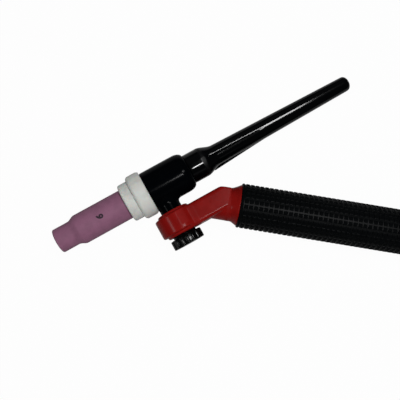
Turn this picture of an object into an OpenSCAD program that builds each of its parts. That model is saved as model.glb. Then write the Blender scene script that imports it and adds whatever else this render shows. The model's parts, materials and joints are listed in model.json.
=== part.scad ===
// Air-cooled TIG torch with a needle valve in its neck, lying on its side.
// The origin is the centre of the handle's rear mouth. +X leaves the mouth, +Y is the side of the back cap,
// and the torch's plane of symmetry is Z = 0.

/* [Handle] */
// Length of the handle
handle_len = 190; // [150:1:230]
// Outside diameter over the grip rings
handle_d = 25.2; // [24:0.1:30]
// Pitch of the grip rings
ring_pitch = 2.72; // [2:0.02:5]
// Width of one ring's crest
ring_w = 1.6; // [0.8:0.1:1.8]
// Depth of the grooves between the rings
ring_depth = 0.4; // [0.2:0.05:0.8]
// Length of the plain rim in front of the first ring, and the least one behind the last
rim_len = 1.2; // [1:0.1:6]
// Wall around the rear mouth, under the grooves
mouth_wall = 2; // [1.2:0.1:2.6]
// Depth of the rear mouth
mouth_len = 20; // [10:1:40]

/* [Neck] */
// Angle between the head's axis and the handle's axis
bend = 38.6; // [25:0.1:60]
// Distance from the valve's axis to the bend, along the arm
arm_len = 24.2; // [22:0.1:34]
// Distance from the head's axis to the arm's axis
arm_drop = 23.4; // [23:0.1:32]
// Height of the arm
arm_h = 12.6; // [12.5:0.1:14]
// Width of the arm
arm_w = 18.2; // [17:0.1:19.4]
// Radius of the arm's long edges
arm_edge = 2.2; // [1:0.1:4]
// How far the middle of the arm lies under the gas tube's axis
arm_sink = 0.5; // [0:0.1:0.6]
// Distance from the bend to the handle's front end
neck_run = 13.2; // [12:0.1:24]
// Diameter of the round neck behind the bend
run_d = 17.9; // [17:0.1:19.4]
// How far the round neck lies under the handle's axis
run_sink = 0.9; // [0.2:0.1:1.4]
// Diameter of the neck's spigot inside the handle
spigot_d = 18.2; // [17:0.1:19.4]
// Length of the neck's spigot inside the handle
spigot_len = 18; // [10:1:24]
// Length of the flared collar
collar_len = 6; // [4:0.1:8]
// Step from the handle's rim down to the collar
collar_step = 1.1; // [0.6:0.1:2]

/* [Valve housing] */
// Distance from the head's axis to the middle of the housing
valve_drop = 23; // [22.5:0.1:31]
// Height of the housing
housing_h = 14; // [13.5:0.1:16]
// Diameter of the barrel
barrel_d = 23.4; // [21:0.1:27]
// Height of the barrel
barrel_h = 11; // [9:0.1:13]
// Diameter of the housing's two ends
land_d = 18.6; // [17.5:0.1:20]
// Radius of the housing's edges
housing_edge = 0.9; // [0.4:0.1:1.3]

/* [Valve] */
// Diameter of the valve body
valve_body_d = 14; // [13:0.1:14.6]
// Diameter of the stem's bore
stem_bore_d = 6.4; // [6:0.1:7]
// Diameter of the stem
stem_d = 4; // [3.4:0.1:4.4]
// Thickness of the stem's seal
stem_seal_t = 1; // [0.8:0.1:1.2]
// Diameter of the hole in the valve seat
seat_hole_d = 2.6; // [2:0.1:3.2]
// How far the stem rises when the valve is opened
valve_lift = 1.05; // [0.6:0.05:1.1]
// Size of the packing nut across its flats
nut_af = 9.5; // [8.9:0.1:10.2]

/* [Knob] */
// Diameter of the knob
knob_d = 18.4; // [16:0.1:26]
// Thickness of the knob
knob_t = 5.3; // [4.6:0.1:9]
// Diameter of the knob's hub
hub_d = 13.65; // [13.4:0.05:13.7]
// Length of hub that shows between the housing and the knob
hub_show = 1.4; // [1.2:0.1:3]
// Number of ribs around the knob
knob_ribs = 16; // [10:1:24]
// Height of the knob's ribs
rib_h = 0.45; // [0.2:0.05:0.8]

/* [Head] */
// Diameter of the head
head_d = 22.7; // [21:0.1:26]
// Length of the head
head_len = 26.1; // [24:0.1:34]
// Distance from the head's front face to the valve's axis
head_nose = 6.5; // [6.4:0.1:9]
// Length of the rounded shoulder at the rear
shoulder_len = 5.2; // [3:0.1:7]
// Diameter of the head's rear end
head_rear_d = 17.4; // [17:0.1:19]
// Diameter of the stub that stands on the valve housing
stub_d = 12.6; // [11.5:0.1:13]
// Diameter of the brass core
core_d = 15.5; // [14.4:0.1:16]

/* [Back cap] */
// Length of the cap outside the head
cap_len = 105.6; // [103:0.1:130]
// Diameter of the cap at the head
cap_d = 17.2; // [16:0.1:20]
// Length of the cap's straight band
cap_band = 8.3; // [5:0.1:10]
// Length of the shoulder behind the band
cap_shoulder = 9.8; // [6:0.1:12]
// Diameter of the cap behind the shoulder
cap_neck_d = 12; // [10.5:0.1:13]
// Diameter of the cap at its tip
cap_tip_d = 8.8; // [7.6:0.1:10]
// Bore that takes the electrode's free end
cap_bore_d = 3.6; // [3.2:0.1:4]
// Diameter of the cap's threaded spigot
cap_thread_d = 11; // [10.6:0.1:11.4]
// Length of the spigot
cap_thread_len = 11.4; // [10:0.1:12]
// Number of fins
fin_count = 3; // [2:1:6]
// Thickness of a fin
fin_w = 1.3; // [0.8:0.1:2]
// Distance from the head to the fins' front ends
fin_start = 13; // [12:0.1:15]
// Length of the fins
fin_len = 35; // [20:1:60]
// Radius of the fins' crest at the front end
fin_crest = 8; // [7.2:0.1:8.4]
// Turn of the first fin from +Z towards +Y
fin_turn = 4; // [0:1:60]
// Thickness of the cap's seal
cap_seal_t = 1.7; // [1.4:0.1:1.9]

/* [Gas cup] */
// Length of the cup
cup_len = 47; // [42:0.5:60]
// Diameter of the cup
cup_d = 17.4; // [17:0.1:18.4]
// Diameter of the cup's nose
cup_nose_d = 14.1; // [12.5:0.1:15]
// Length of the straight nose
cup_nose_len = 9.4; // [6:0.1:12]
// Length of the taper behind the nose
cup_taper_len = 5; // [3:0.1:8]
// Diameter of the orifice
cup_orifice_d = 9.5; // [8:0.1:10.4]
// Outside diameter of the thread that carries the cup
cup_thread_d = 12.9; // [12.4:0.1:13.3]
// Depth of the cup's seat in the gasket
cup_seat = 4.1; // [2:0.1:5]

/* [Gasket] */
// Diameter of the gasket's large step
gasket_d = 26.5; // [24:0.1:30]
// Length of the large step
gasket_len = 8.3; // [6:0.1:10]
// Diameter of the small step
gasket_nose_d = 22.4; // [21:0.1:23.8]
// Length of the small step
gasket_nose_len = 5.8; // [5.2:0.1:8]

/* [Collet and electrode] */
// Diameter of the electrode
electrode_d = 2.4; // [1.6:0.1:2.8]
// Length of the electrode
electrode_len = 175; // [165:1:177]
// How far the electrode's point lies inside the cup's mouth
electrode_recess = 8; // [6.5:0.5:9]
// Length of the ground point
point_len = 4.5; // [3:0.5:8]
// Diameter of the collet
collet_d = 4.8; // [4.2:0.1:5]
// Length of the collet's slots
slot_len = 20; // [10:1:26]
// Width of the collet's slots
slot_w = 0.6; // [0.4:0.1:0.9]
// Diameter of the collet body's nose
collet_nose_d = 8; // [7.6:0.1:9]
// Distance from the head's front face to the collet body's front end
collet_reach = 38.5; // [36:0.5:40]
// Length of the collet body that carries the cup
cup_thread_len = 21.5; // [18:0.5:24]
// Diameter of the collet body's thread in the core
core_thread_d = 9.5; // [9:0.1:10.2]
// Length of that thread
core_thread_len = 5.6; // [5:0.1:5.8]
// Diameter of the collet body's gas ports
gas_port_d = 2; // [1.2:0.1:2.4]

/* [Gas tube and connector] */
// Outside diameter of the gas tube
tube_d = 8; // [7:0.1:9]
// Bore of the gas tube
tube_bore_d = 5; // [4:0.1:5.6]
// Radius of the tube's bend
tube_bend_r = 14; // [10:0.5:18]
// Outside diameter of the connector's thread
conn_thread_d = 9.525; // [8:0.005:10]
// Length of the connector's thread
conn_thread_len = 12; // [8:0.5:16]
// Size of the connector's hexagon across its flats
conn_af = 14; // [13:0.1:14.6]
// Thickness of the hexagon
conn_hex_t = 6; // [4:0.5:8]
// Length of the connector's socket around the tube
conn_socket_len = 8; // [6:0.5:12]
// Distance from the handle's front end to the face that the cable seats on
conn_depth = 40; // [38:1:50]

/* [Fits] */
// Radial clearance of a running fit or a thread
run_fit = 0.05; // [0.02:0.01:0.1]
// Clearance between pieces that only pass each other
free_gap = 0.3; // [0.2:0.05:0.5]

/* [Hidden] */
$fn = 96;
eps = 0.01;
far = 60;

// Colours
pink = [0.70, 0.47, 0.60];
white = [0.93, 0.92, 0.90];
black = [0.06, 0.06, 0.07];
grip_black = [0.10, 0.10, 0.12];
red = [0.72, 0.10, 0.08];
brass = [0.80, 0.62, 0.30];
copper = [0.76, 0.45, 0.30];
tungsten = [0.62, 0.62, 0.64];
steel = [0.70, 0.71, 0.73];
seal_green = [0.20, 0.22, 0.20];
ptfe = [0.88, 0.88, 0.85];

// Stations along the head's axis, from the valve's axis, + towards the back cap
head_face = -head_nose;
head_rear = head_face + head_len;
gasket_step = head_face - gasket_len;
gasket_front = gasket_step - gasket_nose_len;
cup_rear = gasket_front + cup_seat;
cup_tip = cup_rear - cup_len;
collet_front = head_face - collet_reach;
cap_spigot = head_rear - cap_thread_len;
electrode_tip = cup_tip + electrode_recess;
cap_end = head_rear + cap_len;

// Walls and lengths inside the valve housing
roof_t = 2;
nut_thread_len = 2;
nut_thread_recess = 1;
seat_floor_t = 2.5;
seat_t = 1.2;
nut_floor_t = 1.2;
hub_sunk = 0.8;
hub_room = 0.8;
riser_socket = 1.5;
screw_recess = 1.4;
screw_floor_t = 0.4;
screw_hole_len = 5;
screw_shank_len = 4.5;

// Depths along the valve's axis, from the head's axis
housing_top = valve_drop - housing_h / 2;
housing_end = valve_drop + housing_h / 2;
barrel_top = valve_drop - barrel_h / 2;
barrel_end = valve_drop + barrel_h / 2;
body_top = housing_top + roof_t;
body_end = housing_end - nut_thread_recess;
body_shoulder = body_end - nut_thread_len;
seat_top = body_top + seat_floor_t;
seat_end = seat_top + seat_t;
nut_end = body_end + nut_floor_t;
hub_top = housing_end - hub_sunk;
hub_floor = nut_end + hub_room;
knob_top = housing_end + hub_show;
knob_end = knob_top + knob_t;
stem_end = knob_end - screw_recess - screw_floor_t;

// The stem's two flanges and the groove between them, counted back from the packing nut that stops the lift
lift_spare = 0.15;
stem_flange_t = 0.9;
stem_guard_t = 0.4;
groove_spare = 0.2;
stem_flange_end = body_end - valve_lift - lift_spare;
stem_flange = stem_flange_end - stem_flange_t;
groove_w = stem_seal_t + groove_spare;
stem_guard = stem_flange - groove_w;
needle_slope = 0.6;
seat_r = seat_hole_d / 2;
nut_thread_r = stem_bore_d / 2 + 0.9;
nut_gap = 0.1;
nut_relief = 0.2;
nut_corner_r = nut_af / 2 / cos(30);
screw_r = stem_d / 4;
screw_head_r = 2.1 * screw_r + 0.2;

// The collet's wedge in the collet body, and the cap's seal
seat_slope = 0.72;
body_nose_r = electrode_d / 2 + 0.15;
collet_bore_r = collet_d / 2 + 0.4;
collet_lip = 1.5;
collet_tip_wall = 0.4;
flange_r = cup_thread_d / 2 + 0.85;
seat_x = collet_front + collet_lip;
collet_tip = seat_x + (electrode_d / 2 + collet_tip_wall + 2 * run_fit - body_nose_r) / seat_slope;
collet_shoulder = seat_x + (collet_d / 2 + run_fit - body_nose_r) / seat_slope;
cap_seal_groove_r = cap_thread_d / 2 - 0.85;
cap_seal_r = cap_seal_groove_r + run_fit + cap_seal_t / 2;
cap_groove_w = cap_seal_t + 0.4;
cap_seal_pocket = cap_groove_w + 0.2;
cap_seal_pocket_r = cap_seal_r + cap_seal_t / 2 + 2 * run_fit;

// Radii and lengths along the neck and the handle
run_r = run_d / 2;
run_top = run_r - run_sink;
arm_top = arm_h / 2 - arm_sink;
spigot_r = spigot_d / 2;
handle_bore_r = spigot_r + run_fit;
handle_root_r = handle_d / 2 - ring_depth;
mouth_r = handle_root_r - mouth_wall;
collar_r = handle_d / 2 - collar_step;
tube_r = tube_d / 2;
boss_wall = 1.2;
boss_r = tube_r + boss_wall;
boss_end = valve_body_d / 2 + 2.4;
tube_floor_t = 0.6;
tube_start = nut_corner_r + nut_relief + tube_floor_t;
tube_end = -handle_len + conn_depth - conn_hex_t;
port_shift = 1;
port_r = 1.6;

// ---- Helpers ----

// Points of an arc round c, from angle a0 to a1
function arc(c, r, a0, a1, n = 5) =
  [for (i = [0:n]) c + r * [cos(a0 + (a1 - a0) * i / n), sin(a0 + (a1 - a0) * i / n)]];

// Smooth S from point a to point b, level at both ends
function s_curve(a, b, n = 8) =
  [for (i = [0:n]) [a[0] + (b[0] - a[0]) * i / n, a[1] + (b[1] - a[1]) * (1 - cos(180 * i / n)) / 2]];

// A solid turned about the X axis from points [x, radius]
module turned(points) {
  rotate([0, 90, 0])
    rotate_extrude()
      polygon([for (p = points) [p[1], p[0]]]);
}

// A rod along +X
module rod(x0, x1, r) {
  translate([x0, 0, 0])
    rotate([0, 90, 0])
      cylinder(h = x1 - x0, r = r);
}

// A solid turned about the valve's axis from points [depth, radius], where +Z is the depth
module valve_turned(points) {
  rotate_extrude()
    polygon([for (p = points) [p[1], p[0]]]);
}

// The head's frame: X along the head, Y away from the valve, origin where their axes cross
module at_head() {
  translate([-handle_len - neck_run, 0, 0])
    rotate([0, 0, bend])
      translate([-arm_len, arm_drop, 0])
        children();
}

// The valve's frame: +Z is the depth below the head's axis
module at_valve() {
  at_head()
    rotate([90, 0, 0])
      children();
}

// The arm's frame: X along the arm's axis from the valve's axis
module at_arm() {
  at_head()
    translate([0, -arm_drop, 0])
      children();
}

// The neck's frame behind the bend: X along the handle's axis from the bend
module at_run() {
  translate([-handle_len - neck_run, 0, 0])
    children();
}

// A bore of radius r along the gas tube's route, from the valve's axis. Its straight lengths are a hair wider than
// its bend and reach a little way into it.
module tube_route(r) {
  tangent = tube_bend_r * tan(bend / 2);
  hair = 0.02;
  reach = 0.3;
  at_arm()
    rod(0, arm_len - tangent + reach, r + hair);
  at_head()
    translate([arm_len - tangent, -arm_drop - tube_bend_r, 0])
      rotate([0, 0, 90 - bend])
        rotate_extrude(angle = bend)
          translate([tube_bend_r, 0])
            circle(r = r);
  at_run()
    rod(tangent - reach, tube_end + handle_len + neck_run, r + hair);
}

// ---- Cup, collet and electrode ----

module nozzle_cup() {
  nose_r = cup_nose_d / 2;
  cup_r = cup_d / 2;
  bore_r = cup_thread_d / 2 + run_fit;
  hole_r = cup_orifice_d / 2;
  lip = 0.7;
  chamfer = 0.3;
  nose_end = cup_tip + cup_nose_len;
  taper_end = nose_end + cup_taper_len;
  cone_front = nose_end + 2;
  cone_rear = taper_end + 3;
  color(pink)
    at_head()
      turned(concat(
        [[cup_tip + chamfer, hole_r], [cup_tip, hole_r + chamfer]],
        arc([cup_tip + lip, nose_r - lip], lip, 180, 90),
        s_curve([nose_end, nose_r], [taper_end, cup_r]),
        arc([cup_rear - lip, cup_r - lip], lip, 90, 0),
        [[cup_rear, bore_r], [cone_rear, bore_r], [cone_front, hole_r]]
      ));
}

module cup_gasket() {
  big_r = gasket_d / 2;
  small_r = gasket_nose_d / 2;
  pocket_r = cup_d / 2 + 2 * run_fit;
  bore_r = flange_r + free_gap;
  round_big = 1.2;
  round_small = 1.1;
  chamfer = 0.6;
  chamfer_len = 1.4;
  color(white)
    at_head()
      turned(concat(
        [[head_face, bore_r], [cup_rear + run_fit, bore_r]],
        [[cup_rear + run_fit, pocket_r], [gasket_front, pocket_r]],
        arc([gasket_front + round_small, small_r - round_small], round_small, 180, 90),
        [[gasket_step, small_r]],
        arc([gasket_step + round_big, big_r - round_big], round_big, 180, 90),
        [[head_face - chamfer_len, big_r], [head_face, big_r - chamfer]]
      ));
}

module collet_body() {
  flange_t = 2.5;
  thread_front = head_face - cup_thread_len;
  nose_r = collet_nose_d / 2;
  nose_taper = 2.5;
  nose_wall = 1.3;
  step_len = 2;
  port_x = thread_front - 5;
  color(brass)
    at_head()
      difference() {
        turned([
          [collet_front, body_nose_r + nose_wall],
          [collet_front + nose_taper, nose_r],
          [thread_front - step_len, nose_r],
          [thread_front, cup_thread_d / 2],
          [head_face - flange_t, cup_thread_d / 2],
          [head_face - flange_t, flange_r],
          [head_face, flange_r],
          [head_face, core_thread_d / 2],
          [head_face + core_thread_len, core_thread_d / 2],
          [head_face + core_thread_len, collet_bore_r],
          [seat_x + (collet_bore_r - body_nose_r) / seat_slope, collet_bore_r],
          [seat_x, body_nose_r],
          [collet_front, body_nose_r]
        ]);
        for (a = [45:90:315])
          translate([port_x, 0, 0])
            rotate([a, 0, 0])
              cylinder(h = cup_d, d = gas_port_d);
      }
}

module collet() {
  collet_r = collet_d / 2;
  bore_r = electrode_d / 2 + run_fit;
  color(copper)
    at_head()
      difference() {
        turned([
          [collet_tip, bore_r],
          [collet_tip, bore_r + collet_tip_wall],
          [collet_shoulder, collet_r],
          [cap_spigot, collet_r],
          [cap_spigot, bore_r]
        ]);
        for (a = [0, 90])
          rotate([a, 0, 0])
            translate([collet_tip - eps, -slot_w / 2, -collet_d])
              cube([slot_len, slot_w, 2 * collet_d]);
      }
}

module electrode() {
  r = electrode_d / 2;
  flat_r = 0.15;
  color(tungsten)
    at_head()
      turned([
        [electrode_tip, 0],
        [electrode_tip, flat_r],
        [electrode_tip + point_len, r],
        [electrode_tip + electrode_len, r],
        [electrode_tip + electrode_len, 0]
      ]);
}

// ---- Head ----

module head_core() {
  core_r = core_d / 2;
  chamber_r = collet_d / 2 + 1.2;
  chamber_start = head_face + core_thread_len;
  color(brass)
    at_head()
      difference() {
        rod(head_face, head_rear, core_r);
        rod(head_face - eps, chamber_start, core_thread_d / 2 + run_fit);
        rod(chamber_start - eps, cap_spigot, chamber_r);
        rod(cap_spigot - run_fit, head_rear + eps, cap_thread_d / 2 + run_fit);
        rod(head_rear - cap_seal_pocket, head_rear + eps, cap_seal_pocket_r);
        translate([port_shift, 0, 0])
          rotate([90, 0, 0])
            cylinder(h = core_r + eps, r = port_r);
      }
}

module head_cover() {
  head_r = head_d / 2;
  rear_r = head_rear_d / 2;
  front_edge = 0.8;
  shoulder = head_rear - shoulder_len;
  color(black)
    at_head()
      difference() {
        union() {
          turned(concat(
            [[head_face, 0]],
            arc([head_face + front_edge, head_r - front_edge], front_edge, 180, 90),
            [for (a = [90:-10:0]) [shoulder + shoulder_len * cos(a), rear_r + (head_r - rear_r) * sin(a)]],
            [[head_rear, 0]]
          ));
          rotate([90, 0, 0])
            cylinder(h = housing_top, d = stub_d);
        }
        rod(head_face - eps, head_rear + eps, core_d / 2 + run_fit);
        rotate([90, 0, 0])
          cylinder(h = far, r = tube_r + run_fit);
      }
}

module riser_tube() {
  color(brass)
    at_head()
      difference() {
        rotate([90, 0, 0])
          cylinder(h = body_top + riser_socket, r = tube_r);
        rotate([90, 0, 0])
          cylinder(h = far, r = tube_bore_d / 2);
        rod(head_face - eps, head_rear + eps, core_d / 2);
      }
}

// ---- Back cap ----

module back_cap() {
  band_end = head_rear + cap_band;
  neck_x = band_end + cap_shoulder;
  tip_r = cap_tip_d / 2;
  tip_round = 2.6;
  edge = 0.5;
  end_wall = 3;
  color(black)
    at_head()
      difference() {
        union() {
          turned(concat(
            [[cap_spigot, 0], [cap_spigot, cap_thread_d / 2 - edge], [cap_spigot + edge, cap_thread_d / 2]],
            [[head_rear - cap_groove_w, cap_thread_d / 2], [head_rear - cap_groove_w, cap_seal_groove_r]],
            [[head_rear, cap_seal_groove_r]],
            arc([head_rear + edge, cap_d / 2 - edge], edge, 180, 90, 3),
            s_curve([band_end, cap_d / 2], [neck_x, cap_neck_d / 2]),
            arc([cap_end - tip_round, tip_r - tip_round], tip_round, 90, 0),
            [[cap_end, 0]]
          ));
          for (i = [0:fin_count - 1])
            rotate([360 * i / fin_count - fin_turn, 0, 0])
              fin();
        }
        rod(cap_spigot - eps, cap_end - end_wall, cap_bore_d / 2);
      }
}

// One fin, standing on the cap towards +Z and running out into the cap's taper
module fin() {
  x0 = head_rear + fin_start;
  x1 = x0 + fin_len;
  root_r = cap_tip_d / 2 - 1;
  lead = 0.6;
  sunk = 0.1;
  taper_start = head_rear + cap_band + cap_shoulder;
  run_out = cap_neck_d / 2 - (cap_neck_d - cap_tip_d) / 2 * (x1 - taper_start) / (cap_end - taper_start);
  rotate([90, 0, 0])
    translate([0, 0, -fin_w / 2])
      linear_extrude(fin_w)
        polygon([
          [x0, root_r],
          [x0 + lead, fin_crest],
          [x1, run_out - sunk],
          [x1, root_r]
        ]);
}

module cap_o_ring() {
  color(seal_green)
    at_head()
      translate([head_rear - cap_groove_w / 2, 0, 0])
        rotate([0, 90, 0])
          rotate_extrude()
            translate([cap_seal_r, 0])
              circle(d = cap_seal_t, $fn = 32);
}

// ---- Valve ----

module valve_body() {
  body_r = valve_body_d / 2;
  bore_r = stem_bore_d / 2;
  color(brass)
    difference() {
      union() {
        at_valve()
          translate([0, 0, body_top])
            cylinder(h = body_shoulder - body_top, r = body_r);
        at_valve()
          translate([0, 0, body_top])
            cylinder(h = body_end - body_top, r = nut_thread_r);
        difference() {
          at_arm()
            rod(0, boss_end, boss_r);
          at_valve()
            translate([0, 0, body_shoulder])
              cylinder(h = far, r = nut_corner_r + nut_relief);
        }
      }
      at_valve()
        translate([0, 0, body_top - eps])
          cylinder(h = riser_socket + eps, r = tube_r + run_fit);
      at_valve()
        translate([0, 0, body_top])
          cylinder(h = seat_top - body_top + eps, r = seat_r);
      at_valve()
        translate([0, 0, seat_top])
          cylinder(h = body_end - seat_top + eps, r = bore_r);
      at_arm()
        rod(tube_start, boss_end + eps, tube_r + run_fit);
      at_arm()
        rod(0, tube_start + eps, port_r);
    }
}

module valve_seat() {
  color(ptfe)
    at_valve()
      translate([0, 0, seat_top])
        difference() {
          cylinder(h = seat_end - seat_top, r = stem_bore_d / 2 - run_fit);
          translate([0, 0, -eps])
            cylinder(h = far, r = seat_r);
        }
}

module valve_stem() {
  r = stem_d / 2;
  flange = stem_bore_d / 2 - 2 * run_fit;
  groove_r = stem_bore_d / 2 - stem_seal_t - 2 * run_fit;
  point_r = 0.4;
  needle = seat_end + (r - seat_r + run_fit) / needle_slope;
  point = seat_end + (point_r - seat_r + run_fit) / needle_slope;
  color(brass)
    at_valve()
      difference() {
        valve_turned([
          [point, 0],
          [point, point_r],
          [needle, r],
          [stem_guard - stem_guard_t, r],
          [stem_guard - stem_guard_t, flange],
          [stem_guard, flange],
          [stem_guard, groove_r],
          [stem_flange, groove_r],
          [stem_flange, flange],
          [stem_flange_end, flange],
          [stem_flange_end, r],
          [stem_end, r],
          [stem_end, 0]
        ]);
        translate([0, 0, stem_end - screw_hole_len])
          cylinder(h = screw_hole_len + eps, r = screw_r + run_fit);
      }
}

module stem_o_ring() {
  color(seal_green)
    at_valve()
      translate([0, 0, stem_guard + groove_w / 2])
        rotate_extrude()
          translate([stem_bore_d / 2 - run_fit - stem_seal_t / 2, 0])
            circle(d = stem_seal_t, $fn = 24);
}

module packing_nut() {
  color(brass)
    at_valve()
      translate([0, 0, body_shoulder + nut_gap])
        difference() {
          cylinder(h = nut_end - body_shoulder - nut_gap, r = nut_corner_r, $fn = 6);
          translate([0, 0, -eps])
            cylinder(h = nut_thread_len - nut_gap + eps, r = nut_thread_r + run_fit);
          cylinder(h = far, r = stem_d / 2 + 2 * run_fit);
        }
}

module valve_knob() {
  knob_r = knob_d / 2;
  hub_r = hub_d / 2;
  edge = 0.6;
  rib_fill = 0.62;
  rib_r = PI * (knob_r - rib_h) / knob_ribs * rib_fill;
  nut_room = 0.45;
  head_room = 0.6;
  color(black)
    at_valve()
      difference() {
        union() {
          translate([0, 0, hub_top])
            cylinder(h = knob_top - hub_top + eps, r = hub_r);
          intersection() {
            valve_turned([
              [knob_top, 0],
              [knob_top, knob_r - edge],
              [knob_top + edge, knob_r],
              [knob_end - edge, knob_r],
              [knob_end, knob_r - edge],
              [knob_end, 0]
            ]);
            translate([0, 0, knob_top])
              union() {
                cylinder(h = knob_t, r = knob_r - rib_h);
                for (i = [0:knob_ribs - 1])
                  rotate([0, 0, 360 * i / knob_ribs])
                    translate([knob_r - rib_r, 0, 0])
                      cylinder(h = knob_t, r = rib_r, $fn = 24);
              }
          }
        }
        translate([0, 0, hub_top - eps])
          cylinder(h = hub_floor - hub_top + eps, r = nut_corner_r + nut_room);
        translate([0, 0, hub_top])
          cylinder(h = stem_end - hub_top, r = stem_d / 2 + run_fit);
        translate([0, 0, hub_top])
          cylinder(h = far, r = screw_r + run_fit);
        translate([0, 0, knob_end - screw_recess])
          cylinder(h = far, r = screw_head_r + head_room);
      }
}

module knob_screw() {
  head_t = 1.1;
  head_x = knob_end - screw_recess;
  driver_w = 0.6;
  driver_depth = 0.5;
  color(steel)
    at_valve()
      difference() {
        union() {
          translate([0, 0, stem_end - screw_shank_len])
            cylinder(h = head_x - stem_end + screw_shank_len + eps, r = screw_r);
          translate([0, 0, head_x])
            cylinder(h = head_t, r = screw_head_r);
        }
        translate([-far / 2, -driver_w / 2, head_x + head_t - driver_depth])
          cube([far, driver_w, far]);
      }
}

// ---- Neck ----

module neck_cover() {
  color(red)
    difference() {
      union() {
        housing();
        arm();
        run();
      }
      at_valve()
        translate([0, 0, body_top - run_fit])
          cylinder(h = far, r = valve_body_d / 2 + run_fit);
      at_valve()
        translate([0, 0, housing_top - eps])
          cylinder(h = far, r = tube_r + run_fit);
      at_valve()
        translate([0, 0, body_shoulder])
          cylinder(h = far, r = hub_d / 2 + free_gap);
      at_arm()
        rod(0, boss_end + run_fit, boss_r + run_fit);
      tube_route(tube_r + run_fit);
    }
}

module housing() {
  barrel_r = barrel_d / 2;
  land_r = land_d / 2;
  e = housing_edge;
  at_valve()
    valve_turned(concat(
      [[housing_top, 0]],
      arc([housing_top + e, land_r - e], e, 180, 90),
      [[barrel_top, land_r]],
      arc([barrel_top + e, barrel_r - e], e, 180, 90),
      arc([barrel_end - e, barrel_r - e], e, 90, 0),
      [[barrel_end, land_r]],
      arc([housing_end - e, land_r - e], e, 90, 0),
      [[housing_end, 0]]
    ));
}

// The arm from the housing to the collar: its side outline and its cross-section, both extruded
module arm() {
  low = arm_top - arm_h;
  lap = 0.5;
  end_x = neck_run - collar_len + lap;
  top_x = arm_len + (run_top - arm_top * cos(bend)) / sin(bend);
  end_low = arm_len + (end_x + low * sin(bend)) / cos(bend);
  end_top = [arm_len + end_x * cos(bend) + run_top * sin(bend), run_top * cos(bend) - end_x * sin(bend)];
  at_arm()
    intersection() {
      translate([0, 0, -arm_w / 2])
        linear_extrude(arm_w)
          polygon([[0, arm_top], [top_x, arm_top], end_top, [end_low, low], [0, low]]);
      translate([0, -arm_sink, 0])
        rotate([90, 0, 90])
          linear_extrude(far)
            round_rect(arm_w, arm_h, arm_edge);
    }
}

// A rectangle with round corners, h along X and w along Y
module round_rect(w, h, r) {
  polygon(concat(
    arc([h / 2 - r, w / 2 - r], r, 0, 90),
    arc([-h / 2 + r, w / 2 - r], r, 90, 180),
    arc([-h / 2 + r, -w / 2 + r], r, 180, 270),
    arc([h / 2 - r, -w / 2 + r], r, 270, 360)
  ));
}

// The round neck behind the bend, which hangs low, and the collar and spigot on the handle's axis
module run() {
  collar_x = neck_run - collar_len;
  run_in = 3;
  collar_rim = 0.6;
  intersection() {
    at_run()
      union() {
        translate([0, -run_sink, 0])
          rod(-run_in, neck_run - collar_rim, run_r);
        turned([
          [collar_x, 0],
          [collar_x, run_r],
          [neck_run - collar_rim, collar_r],
          [neck_run, collar_r],
          [neck_run, spigot_r],
          [neck_run + spigot_len, spigot_r],
          [neck_run + spigot_len, 0]
        ]);
      }
    at_arm()
      translate([-far, arm_top - 4 * far, -far])
        cube([4 * far, 4 * far, 2 * far]);
  }
}

// The tube's route in the arm's frame: [centre, turn towards the handle] for each ring
function tube_stations(n = 8) =
  let (
    tangent = tube_bend_r * tan(bend / 2),
    centre = [arm_len - tangent, -tube_bend_r],
    run_len = tube_end + handle_len + neck_run
  )
  concat(
    [[[tube_start, 0], 0]],
    [for (i = [0:n]) [centre + tube_bend_r * [sin(bend * i / n), cos(bend * i / n)], bend * i / n]],
    [[[arm_len, 0] + run_len * [cos(bend), -sin(bend)], bend]]
  );

// One ring of points round a station
function ring(station, r, sides) =
  [for (k = [0:sides - 1])
    let (a = 360 * k / sides, c = station[0], turn = station[1])
    [c[0] + r * cos(a) * sin(turn), c[1] + r * cos(a) * cos(turn), r * sin(a)]];

module gas_tube() {
  sides = 32;
  stations = tube_stations();
  last = len(stations) - 1;
  inner = (last + 1) * sides;
  points = concat(
    [for (s = stations) each ring(s, tube_r, sides)],
    [for (s = stations) each ring(s, tube_bore_d / 2, sides)]
  );
  function at(j, k) = j * sides + k % sides;
  wall = [for (j = [0:last - 1]) for (k = [0:sides - 1])
    each [[at(j, k), at(j, k + 1), at(j + 1, k + 1)], [at(j, k), at(j + 1, k + 1), at(j + 1, k)]]];
  bore = [for (f = wall) [f[2] + inner, f[1] + inner, f[0] + inner]];
  front = [for (k = [0:sides - 1])
    each [[at(0, k + 1), at(0, k), at(0, k) + inner],
      [at(0, k + 1), at(0, k) + inner, at(0, k + 1) + inner]]];
  back = [for (k = [0:sides - 1])
    each [[at(last, k), at(last, k + 1), at(last, k + 1) + inner],
      [at(last, k), at(last, k + 1) + inner, at(last, k) + inner]]];
  color(copper)
    at_arm()
      polyhedron(points = points, faces = concat(wall, bore, front, back), convexity = 6);
}

module cable_connector() {
  shoulder = -handle_len + conn_depth;
  socket = shoulder - conn_hex_t - conn_socket_len;
  chamfer = 0.6;
  socket_wall = 1.8;
  color(brass)
    difference() {
      union() {
        rod(socket, shoulder - conn_hex_t + eps, tube_r + socket_wall);
        translate([shoulder - conn_hex_t, 0, 0])
          rotate([0, 90, 0])
            cylinder(h = conn_hex_t, r = conn_af / 2 / cos(30), $fn = 6);
        turned([
          [shoulder - eps, 0],
          [shoulder - eps, conn_thread_d / 2],
          [shoulder + conn_thread_len, conn_thread_d / 2],
          [shoulder + conn_thread_len + chamfer, conn_thread_d / 2 - chamfer],
          [shoulder + conn_thread_len + chamfer, 0]
        ]);
      }
      rod(socket - eps, tube_end, tube_r + run_fit);
      rod(tube_end - eps, 0, tube_bore_d / 2);
    }
}

// ---- Handle ----

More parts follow.
